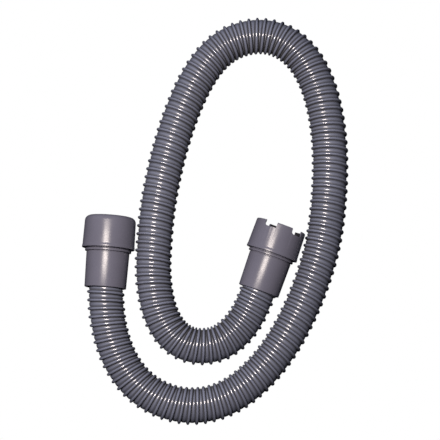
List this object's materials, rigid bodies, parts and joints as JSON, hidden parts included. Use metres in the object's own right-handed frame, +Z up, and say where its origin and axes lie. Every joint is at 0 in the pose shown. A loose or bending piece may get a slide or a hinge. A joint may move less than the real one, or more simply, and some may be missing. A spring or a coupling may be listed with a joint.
{
  "type": "drain hose",
  "caption": "spiral-ribbed drain hose lying in an open oval loop, with a notched bayonet swivel fitting on one end and a plain round-lipped swivel fitting on the other",
  "frame": {"origin": "on the ground, at the middle of the box around the two end fittings", "axes": "+Z up, +X from the outlet fitting towards the bayonet fitting, +Y the way the two mouths face"},
  "size_m": [0.649, 1.0064, 0.1312],
  "materials": {
    "hose_vinyl": "glossy flexible vinyl, purplish grey",
    "fitting_plastic": "smooth glossy moulded plastic, purplish grey",
    "ring_plastic": "hidden moulded plastic, dark grey",
    "seal_rubber": "soft black rubber"
  },
  "bodies": {
    "hose_line": {"hose": "hose_vinyl", "outlet_cuff": "fitting_plastic", "outlet_thrust_ring": "fitting_plastic", "outlet_retaining_ring": "ring_plastic", "outlet_o_ring": "seal_rubber", "outlet_ferrule": "ring_plastic", "bayonet_cuff": "fitting_plastic", "bayonet_thrust_ring": "fitting_plastic", "bayonet_retaining_ring": "ring_plastic", "bayonet_o_ring": "seal_rubber", "bayonet_ferrule": "ring_plastic"},
    "outlet_swivel": {"outlet_collar": "fitting_plastic", "outlet_lip_seal": "seal_rubber"},
    "bayonet_swivel": {"bayonet_collar": "fitting_plastic", "bayonet_gasket": "seal_rubber"}
  },
  "joints": [
    {"name": "outlet_swivel_turn", "type": "hinge", "parent": "hose_line", "child": "outlet_swivel", "pos_m": [-0.20656, 0.02027, 0.06445], "axis": [0.0716, 0.9958, 0.0572], "continuous": true},
    {"name": "bayonet_swivel_turn", "type": "hinge", "parent": "hose_line", "child": "bayonet_swivel", "pos_m": [0.19018, 0.00763, 0.06434], "axis": [0.3324, 0.9387, 0.0917], "continuous": true}
  ]
}
